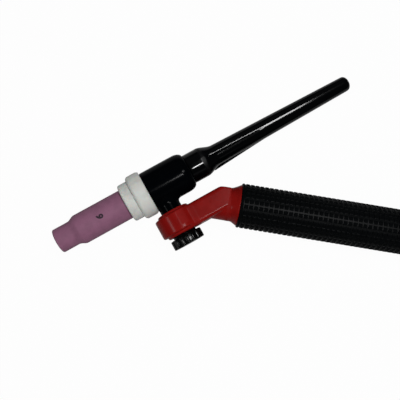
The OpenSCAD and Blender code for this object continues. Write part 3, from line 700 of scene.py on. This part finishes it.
class TORCH_OT_head(bpy.types.Operator):
    """Build the moulded head with its stub"""
    bl_idname = "torch.head"
    bl_label = "Head"

    def execute(self, context):
        head = context.scene.torch_head
        low, high = reach("head_cover")
        front, rear, body_r = low[0], high[0], high[2]
        rear_r, shoulder = head.rear_d / 2, rear - head.shoulder
        edge, crisp, core = 0.8 * MM, 0.15 * MM, head.core_d / 2
        outline = ([(front, 0.0)] + arc((front + edge, body_r - edge), edge, 180, 90, 5)
                   + [(shoulder + head.shoulder * math.cos(t), rear_r + (body_r - rear_r) * math.sin(t))
                      for t in np.radians(np.arange(90, -1, -9))] + [(rear, 0.0)])

        def field(x, y, z):
            shell = turned_field(x, np.hypot(y, z), outline)
            stub = drum(-y, np.hypot(x, z), 0.0, -low[1], head.stub_d / 2, crisp)
            whole = blend_min(shell, stub, 2 * head.stub_fillet)
            return blend_max(whole, core - np.hypot(y, z), crisp)

        finish = moulded_finish("moulded_black", head.body, 0.15, 0.025, peel=0.005 * MM, wave=0.008 * MM)
        moulded("head_shell", field, (front, low[1], -body_r), (rear, body_r, body_r), 0.34 * MM,
                finish.material, ("head_cover",))
        return {"FINISHED"}


FIN_LEAD, FIN_ROOT, FIN_ROOM = 0.6 * MM, 0.35 * MM, 1.5 * MM
FIN_DRAFT = 0.14
GAP_POINTS = 14


class TORCH_OT_cap(bpy.types.Operator):
    """Build the back cap with its fins and its threaded spigot"""
    bl_idname = "torch.cap"
    bl_label = "Back cap"

    def execute(self, context):
        cap = context.scene.torch_cap
        spigot, end = along("back_cap")
        head_rear = along("head_cover")[1]
        band_r = context.scene.torch_head.rear_d / 2 - 0.1 * MM
        neck_r, tip_r, thread_r = cap.neck_d / 2, cap.tip_d / 2, cap.thread_d / 2
        band_end = head_rear + cap.band
        neck_x = band_end + cap.shoulder
        groove, groove_r = along("cap_o_ring")[0] - 0.2 * MM, thread_r - 0.85 * MM
        tip_round, edge, bore, bore_end = 2.6 * MM, 0.5 * MM, 1.8 * MM, end - 3 * MM
        pitch, depth = 0.79375 * MM, 0.42 * MM
        fin_x0 = head_rear + cap.fin_start
        fin_x1 = fin_x0 + cap.fin_len
        run_out = neck_r - (neck_r - tip_r) * (fin_x1 - neck_x) / (end - neck_x)
        inner = [(bore_end, 0.0), (bore_end, bore), (spigot, bore), (spigot, thread_r - edge)]
        threaded = range(len(inner), len(inner) + THREAD_STEPS)
        rows = (
            inner
            + [(x, thread_r) for x in np.linspace(spigot + edge, groove - 0.3 * MM, THREAD_STEPS)]
            + [(groove, thread_r - 0.2 * MM), (groove, groove_r), (head_rear, groove_r)]
            + arc((head_rear + edge, band_r - edge), edge, 180, 90)
            + line((head_rear + edge, band_r), (band_end, band_r), 4)[1:-1]
            + s_curve((band_end, band_r), (neck_x, neck_r), 20)
            + line((neck_x, neck_r), (end - tip_round, tip_r), 60)[1:]
            + arc((end - tip_round, tip_r - tip_round), tip_round, 90, 0, 10)[1:]
            + [(end, 0.0)]
        )
        for ahead in (-0.02 * MM, 0.0, 0.12 * MM, 0.3 * MM, FIN_LEAD):
            rows = with_station(rows, fin_x0 + ahead)
        swell = thread(pitch, depth, spigot + 0.3 * MM, groove - 0.2 * MM)
        loops = [finned_loop(x, r, fin_rise(x, r, fin_x0, fin_x1, cap.fin_crest, run_out), cap,
                             swell if row in threaded else None) for row, (x, r) in enumerate(rows)]
        faces = grid_faces(len(rows), len(loops[0]))
        finish = moulded_finish("gloss_black", cap.body, 0.10, 0.18, peel=0.003 * MM)
        # Matt just behind the band, where fingers turn the cap.
        handled = (finish.x.between(band_end - 0.3 * MM, band_end + 0.5 * MM)
                   - finish.x.between(band_end + 1.4 * MM, band_end + 3.2 * MM))
        finish.set("Roughness", finish.rough + 0.38 * handled)
        piece("finned_cap", np.concatenate(loops), faces, HEAD, "cap", finish.material,
              ("back_cap",), crease=35)
        return {"FINISHED"}


def with_station(rows, x):
    """Rows of (x, radius) with one more, on the line between its neighbours."""
    for i, ((x0, r0), (x1, r1)) in enumerate(zip(rows, rows[1:])):
        if x0 < x < x1:
            return rows[:i + 1] + [(x, r0 + (r1 - r0) * (x - x0) / (x1 - x0))] + rows[i + 1:]
    return rows


def fin_rise(x, r, start, end, crest, run_out):
    """How far a fin stands over the cap at x: its crest slopes down to the run-out radius."""
    if not start < x < end:
        return 0.0
    lead = min(1.0, ((x - start) / FIN_LEAD) ** 0.5)
    top = crest + (run_out - crest) * (x - start) / (end - start)
    return max(0.0, top - r) * lead


def finned_loop(x, r, rise, cap, swell):
    """One loop round the cap: arcs of its body with a fin of this rise between each."""
    half = cap.fin_w / 2
    root = min(FIN_ROOT, 0.6 * rise + MERGE_DISTANCE)
    flank = [(half + root, 0.0), (half + 0.35 * root, 0.06), (half, 0.18), (half, 0.5), (half, 0.84),
             (half * 0.80, 0.965), (half * 0.42, 1.0), (0.0, 1.0)]
    fin = flank + [(-w, t) for w, t in flank[-2::-1]]
    if r < half + FIN_ROOM:
        return turned([(x, r)], cap.fins * (len(fin) + GAP_POINTS), swell)
    points = []
    sector = 2 * math.pi / cap.fins
    for k in range(cap.fins):
        middle = k * sector + cap.fin_turn
        for w, t in fin:
            high = math.sqrt(r * r - w * w) + t * (rise - FIN_DRAFT * w)
            points.append((middle - math.atan2(w, high), math.hypot(w, high)))
        gap = math.asin((half + root) / r)
        points += [(middle - angle, r) for angle in np.linspace(-gap, gap - sector, GAP_POINTS + 2)[1:-1]]
    angles, radii = np.array(points).T
    if swell is not None:
        radii = swell(np.full_like(angles, x), radii, -angles)
    return np.stack([np.full_like(angles, x), radii * np.sin(angles), radii * np.cos(angles)], axis=1)


class TORCH_OT_neck(bpy.types.Operator):
    """Build the red neck: valve housing, arm, round neck and collar"""
    bl_idname = "torch.neck"
    bl_label = "Neck"

    def execute(self, context):
        neck = context.scene.torch_neck
        low, high = reach("neck_cover")
        run_axis = HEAD.to_3x3().inverted() @ Vector((1, 0, 0))
        run_end = along("neck_cover", HANDLE)[1]
        front = along("handle", HANDLE)[0]
        handle_point = HEAD.inverted() @ Vector((front, 0, 0))
        (ax, ay, _), (hx, hy, _) = run_axis, handle_point
        top = along("neck_cover", VALVE)[0]
        bottom = top + neck.housing_h
        bore_top = along("valve_body", VALVE)[0]
        middle, half_barrel = (top + bottom) / 2, neck.barrel_h / 2
        tube_high = reach("gas_tube")[1]
        drop = tube_high[2] - tube_high[1]  # the gas tube starts along the arm's axis and then bends away
        run_r, spigot_r, collar_r = neck.run_d / 2, neck.spigot_d / 2, neck.collar_d / 2
        half_h, edge, rim_edge, fillet = neck.arm_h / 2, neck.arm_edge, 0.9 * MM, 0.3 * MM
        collar, rim, flare_power = -neck.collar_len, 0.6 * MM, 1.35
        run_start = (-drop - hy) / ay - 3 * MM  # a little before the arm's axis meets it
        run_outline = [(run_start, 0.0), (run_start, run_r), (-1 * MM, run_r), (-1 * MM, 0.0)]
        flare = [(collar * (1 - t) - rim * t, run_r + (collar_r - run_r) * t ** flare_power)
                 for t in np.linspace(0, 1, 7)]
        collar_outline = [(collar, 0.0)] + flare + [(0.0, collar_r), (0.0, spigot_r),
                          (run_end - front, spigot_r), (run_end - front, 0.0)]

        def field(x, y, z):
            depth = -y
            off_valve = np.hypot(x, z)
            barrel = drum(depth, off_valve, middle - half_barrel, middle + half_barrel,
                          neck.barrel_d / 2, rim_edge)
            lands = drum(depth, off_valve, top, bottom, neck.land_d / 2, rim_edge)
            rx = (x - hx) * ax + (y - hy) * ay
            ry = -(x - hx) * ay + (y - hy) * ax
            arm_y = y + drop + neck.arm_sink
            run = turned_field(rx, np.hypot(ry + neck.run_sink, z), run_outline)
            run = np.maximum(run, arm_y - half_h)
            arm = eased(np.abs(arm_y) - half_h, np.abs(z) - neck.arm_w / 2, edge)
            arm = np.maximum(np.maximum(arm, -x), rx - collar * 0.999)
            arm = blend_max(arm, ry - (run_r - neck.run_sink), 0.8 * MM)
            housing = blend_min(barrel, lands, 0.7 * MM)
            whole = blend_min(blend_min(housing, arm, 0.6 * MM), run, fillet)
            whole = blend_min(whole, turned_field(rx, np.hypot(ry, z), collar_outline), fillet)
            hole = np.maximum(off_valve - neck.hub_hole / 2, bore_top - depth)
            return blend_max(whole, -hole, fillet)

        finish = moulded_finish("moulded_red", neck.body, 0.22, 0.065, peel=0.004 * MM, wave=0.010 * MM)
        # Matt where a thumb rests behind the barrel, and where the arm meets the barrel and the collar.
        thumbed = (finish.x.between(0.5 * MM, 1.5 * MM) * finish.x.between(6 * MM, 4.5 * MM)
                   * finish.y.between(-middle - 3.6 * MM, -middle - 2.6 * MM))
        joint = finish.x.between(7.4 * MM, 8.2 * MM) * finish.x.between(11.5 * MM, 10.5 * MM)
        along_run = finish.x * ax + finish.y * ay - handle_point.dot(run_axis)
        joint = joint + abs(along_run - collar).between(1.1 * MM, 0.5 * MM)
        finish.set("Roughness", finish.rough + 0.4 * (thumbed + joint))
        moulded("red_neck", field, low, high, 0.30 * MM, finish.material, ("neck_cover",))
        return {"FINISHED"}


class TORCH_OT_knob(bpy.types.Operator):
    """Build the ribbed valve knob"""
    bl_idname = "torch.knob"
    bl_label = "Valve knob"

    def execute(self, context):
        knob = context.scene.torch_knob
        start, end = along("valve_knob", VALVE)
        knob_r = radius_of("valve_knob", VALVE)
        hub_r = knob.hub_d / 2
        face = end - knob.thickness
        edge, ease, lip, foot, ring = 0.6 * MM, 0.25 * MM, 0.35 * MM, 0.3 * MM, 0.9 * MM
        recess, recess_r, hub_bore = end - 1.4 * MM, 1.9 * MM, 5.6 * MM
        root, rib_share, rib_steps = knob_r - knob.rib_h, 0.62, 20
        rib_r = math.pi * root / knob.ribs * rib_share
        rib_at = knob_r - rib_r
        sector = 2 * math.pi / knob.ribs

        def swell(x, r, a):
            off = (a + sector / 2) % sector - sector / 2
            side = rib_at * np.sin(off)
            rib = rib_at * np.cos(off) + np.sqrt(np.maximum(rib_r ** 2 - side ** 2, 0))
            shape = np.maximum(np.where(np.abs(side) < rib_r, rib, 0), root)
            outer = (r > hub_r + edge) & (x > face - 0.1 * MM)
            fullness = np.clip((r - hub_r) / (knob_r - hub_r), 0, 1)
            return np.where(outer, r - (knob_r - shape) * fullness, r)

        profile = (
            [(start, hub_bore), (start, hub_r - foot), (start + foot, hub_r), (face - ease, hub_r)]
            + arc((face - ease, hub_r + ease), ease, 270, 360, 3)
            + [(face, hub_r + 1.2 * MM)]
            + arc((face + edge, knob_r - edge), edge, 180, 90, 5)
            + arc((end - edge, knob_r - edge), edge, 90, 0, 5)
            + [(end, hub_r + ring)]
            + arc((end - lip, hub_r + lip), lip, 90, 180, 3)
            + arc((end - lip, hub_r - ring), lip, 0, 90, 3)
            + [(end, recess_r + 0.8 * MM)]
            + arc((end - foot, recess_r + foot), foot, 90, 180, 3)
            + [(recess, recess_r), (recess, 0.0)]
        )
        finish = moulded_finish("knob_black", knob.body, 0.14, 0.11, peel=0.004 * MM)
        turned_piece("ribbed_knob", profile, VALVE, "valve", finish.material, ("valve_knob",),
                     count=knob.ribs * rib_steps, swell=swell, closed=False, crease=50)
        return {"FINISHED"}


class TORCH_OT_grip(bpy.types.Operator):
    """Build the tubular handle with its rings of studs"""
    bl_idname = "torch.grip"
    bl_label = "Grip"

    def execute(self, context):
        grip = context.scene.torch_grip
        front, rear = along("handle", HANDLE)
        outer = radius_of("handle", HANDLE)
        root = outer - grip.depth
        groove = grip.pitch - grip.stud_len
        count = math.floor((rear - front - 2 * grip.rim + grip.stud_len) / grip.pitch)
        first = front + grip.rim
        edge, bore, mouth, ease = 0.5 * MM, grip.bore_d / 2, grip.mouth_d / 2, 0.3 * MM
        # A groove between two rings: places across it, and the height at each, from its root to the studs' edge.
        steps = [(p * groove, h) for p, h in ((0.0, 1.0), (0.24, 0.1), (0.5, 0.0), (0.76, 0.1), (1.0, 1.0))]
        crown, edge_height = grip.stud_len / 2, 0.97
        # Each row is its place, its radius, and 1 where the grooves along the handle cut into it.
        rows = [(x, r, 0.0) for x, r in [(front, bore)] + arc((front + edge, outer - edge), edge, 180, 90, 4)]
        for ring in range(count):
            start = first + ring * grip.pitch
            rows += [(start + x, root + grip.depth * h * edge_height, 1.0 if ring and x < 0.5 * groove or
                      ring < count - 1 and x > 0.5 * groove else 0.0) for x, h in steps]
            if ring < count - 1:
                rows.append((start + groove + crown, outer, 1.0))
        mouth_end = rear - grip.mouth_len
        rows += [(x, r, 0.0) for x, r in arc((rear - edge, outer - edge), edge, 90, 0, 4)
                 + [(rear, mouth + ease), (rear - ease, mouth), (mouth_end, mouth), (mouth_end, bore)]]
        sector = 2 * math.pi / grip.rows
        # A stud round the handle: places in its sector and the height at each.
        wall = np.array([0.0, 0.12, 0.16, 0.26, 0.5, 0.74, 0.84, 0.88])
        height = np.array([0.0, 0.0, 0.6, 1.0, 1.0, 1.0, 0.6, 0.0])
        angles = (np.arange(grip.rows)[:, None] + wall).reshape(-1) * sector
        stud = np.tile(height, grip.rows)
        x, r, cut = np.array(rows).T[:, :, None]
        radius = np.minimum(np.where(cut > 0, root + (r - root) * stud, r), outer)
        points = np.stack([x + 0 * radius, radius * np.sin(angles), radius * np.cos(angles)], axis=-1)
        faces = grid_faces(len(rows), len(angles), close_rows=True)
        piece("studded_grip", points.reshape(-1, 3), faces, HANDLE, "torch", grip_finish(grip, outer),
              ("handle",), crease=30)
        return {"FINISHED"}


class TORCH_OT_metal(bpy.types.Operator):
    """Finish the inner metal parts and seals, which keep their solids"""
    bl_idname = "torch.metal"
    bl_label = "Metal and seals"

    def execute(self, context):
        metal = context.scene.torch_metal
        head, valve, handle = HEAD_AXIS, VALVE_AXIS, Vector((1, 0, 0))
        machined = (
            ("head_core", "brass_head", metal.brass, 0.26, head),
            ("collet_body", "brass_collet_body", metal.brass, 0.22, head),
            ("riser_tube", "brass_riser", metal.brass, 0.3, valve),
            ("valve_body", "brass_valve", metal.brass, 0.28, valve),
            ("valve_stem", "brass_stem", metal.brass, 0.24, valve),
            ("packing_nut", "brass_nut", metal.brass, 0.28, valve),
            ("cable_connector", "brass_connector", metal.brass, 0.27, handle),
            ("collet", "copper_collet", metal.copper, 0.3, head),
            ("gas_tube", "copper_tube", metal.copper, 0.34, handle, 500),
            ("electrode", "ground_tungsten", metal.tungsten, 0.32, head, 6000),
            ("knob_screw", "plated_steel", metal.steel, 0.22, valve),
        )
        soft = (
            ("valve_seat", "seat_ptfe", metal.seat, 0.45, 900),
            ("stem_o_ring", "stem_seal_rubber", metal.seal, 0.5, 1200),
            ("cap_o_ring", "cap_seal_rubber", metal.seal, 0.5, 1200),
        )
        for finish, looks in ((metal_finish, machined), (plain_finish, soft)):
            for node, *look in looks:
                mesh = frame["nodes"][node].data
                mesh.materials.clear()
                mesh.materials.append(finish(*look))
        return {"FINISHED"}


HEAD_TURN = math.radians(28.8)
LAMPS = (  # name; place across, up and out, width and depth in metres; power; turn in the picture
    ("strip", (0.198, -0.033, 0.85), 0.117, 0.08, 2.5, HEAD_TURN),
    ("key", (0.279, 0.230, 0.85), 0.21, 0.075, 3.2, HEAD_TURN),
    ("left", (-0.62, -0.25, 0.80), 0.18, 0.18, 1.4, 0.0),
    ("top", (-0.15, 0.95, 0.75), 1.2, 1.0, 0.25, 0.0),
    ("low", (0.45, -0.85, 0.65), 0.7, 0.3, 0.12, 0.0),
)
SENSOR_WIDTH = 36
CLIP = (0.01, 10)
FLOOR_HALF = 4.0
WORLD_DIM = 0.05
WHITE = (1, 1, 1, 1)


class TORCH_OT_stage(bpy.types.Operator):
    """Set the floor, the lamps and the camera"""
    bl_idname = "torch.stage"
    bl_label = "Stage"

    def execute(self, context):
        stage = context.scene.torch_stage
        tilted = Vector((0, math.cos(stage.roll), math.sin(stage.roll)))
        right = Vector((math.cos(stage.slope), 0, 0)) + math.sin(stage.slope) * tilted
        up = Vector((-math.sin(stage.slope), 0, 0)) + math.cos(stage.slope) * tilted
        back = right.cross(up)
        front = Vector((along("handle", HANDLE)[0], 0, 0))
        aim = front - stage.aim_left * right + stage.aim_up * up
        view = Matrix((right, up, back)).transposed().to_4x4()

        lens = bpy.data.cameras.new("camera")
        lens.lens = stage.lens
        lens.sensor_width = SENSOR_WIDTH
        lens.clip_start, lens.clip_end = CLIP
        context.scene.camera = put("camera", lens, Matrix.Translation(aim + back * stage.camera_distance) @ view)

        self.floor(stage)
        for lamp in LAMPS:
            self.lamp(Matrix.Translation(aim) @ view, *lamp)
        self.sky(context)
        context.scene.view_settings.view_transform = "Standard"
        return {"FINISHED"}

    def floor(self, stage):
        """A wide level plane under the torch, white to the camera, with its own soft shadow kept."""
        half = FLOOR_HALF
        corners = [(-half, -half, 0), (half, -half, 0), (half, half, 0), (-half, half, 0)]
        mesh = bpy.data.meshes.new("floor")
        mesh.from_pydata(corners, [], [range(4)])
        floor = put("floor", mesh, Matrix.Translation((0, 0, CAD_BOX[0][2] - 0.1 * MM)))
        material = bpy.data.materials.new("floor_white")
        nodes = Nodes(material)
        lit = nodes.add("BsdfPrincipled", {}, {
            "Base Color": (*stage.floor, 1), "Roughness": 0.9, "Specular IOR Level": 0.1})
        seen = nodes.add("LightPath", {}, {}, "Is Camera Ray")
        through = nodes.add("LightPath", {}, {}, "Is Transmission Ray")
        glow = nodes.add("Emission", {}, {"Color": WHITE, "Strength": 1.0})
        mixed = nodes.add("MixShader", {}, {0: seen * (1 - stage.shadow) + through, 1: lit, 2: glow})
        nodes.add("OutputMaterial", {}, {"Surface": mixed})
        mesh.materials.append(material)

    def lamp(self, aimed, name, place, width, depth, power, turn):
        """A soft box at a place given across, up and out in the camera's axes, turned to the torch."""
        light = bpy.data.lights.new(name, "AREA")
        light.shape = "RECTANGLE"
        light.size, light.size_y = width, depth
        light.energy = power
        out = Vector(place).normalized()
        level = Vector((math.cos(turn), math.sin(turn), 0))
        across = (level - out * out.dot(level)).normalized()
        facing = Matrix((across, out.cross(across), out)).transposed().to_4x4()
        put(name, light, aimed @ Matrix.Translation(place) @ facing)

    def sky(self, context):
        """A plain white surround for the camera, and a dim even one for the torch."""
        world = bpy.data.worlds.new("studio")
        context.scene.world = world
        nodes = Nodes(world)
        seen = nodes.add("LightPath", {}, {}, "Is Camera Ray")
        strength = nodes.add("MapRange", {}, {"Value": seen, "To Min": WORLD_DIM, "To Max": 1.0})
        sky = nodes.add("Background", {}, {"Color": WHITE, "Strength": strength})
        nodes.add("OutputWorld", {}, {"Surface": sky})


OPERATORS = (TORCH_OT_stage, TORCH_OT_metal, TORCH_OT_cup, TORCH_OT_shield, TORCH_OT_head, TORCH_OT_cap,
             TORCH_OT_neck, TORCH_OT_knob, TORCH_OT_grip)


class TORCH_PT_panel(bpy.types.Panel):
    """Lists the torch's pieces"""
    bl_idname = "TORCH_PT_panel"
    bl_label = "TIG torch"
    bl_space_type = "VIEW_3D"
    bl_region_type = "UI"
    bl_category = "Torch"

    def draw(self, context):
        for operator in OPERATORS:
            self.layout.operator(operator.bl_idname)


CLASSES = (*GROUPS.values(), *OPERATORS, TORCH_PT_panel)


def register():
    for kind in CLASSES:
        bpy.utils.register_class(kind)
    for name, group in GROUPS.items():
        setattr(bpy.types.Scene, name, PointerProperty(type=group))


def unregister():
    for name in GROUPS:
        delattr(bpy.types.Scene, name)
    for kind in reversed(CLASSES):
        bpy.utils.unregister_class(kind)


def main():
    register()
    for operator in OPERATORS:
        getattr(bpy.ops.torch, operator.bl_idname.split(".")[1])()


if __name__ == "__main__":
    main()
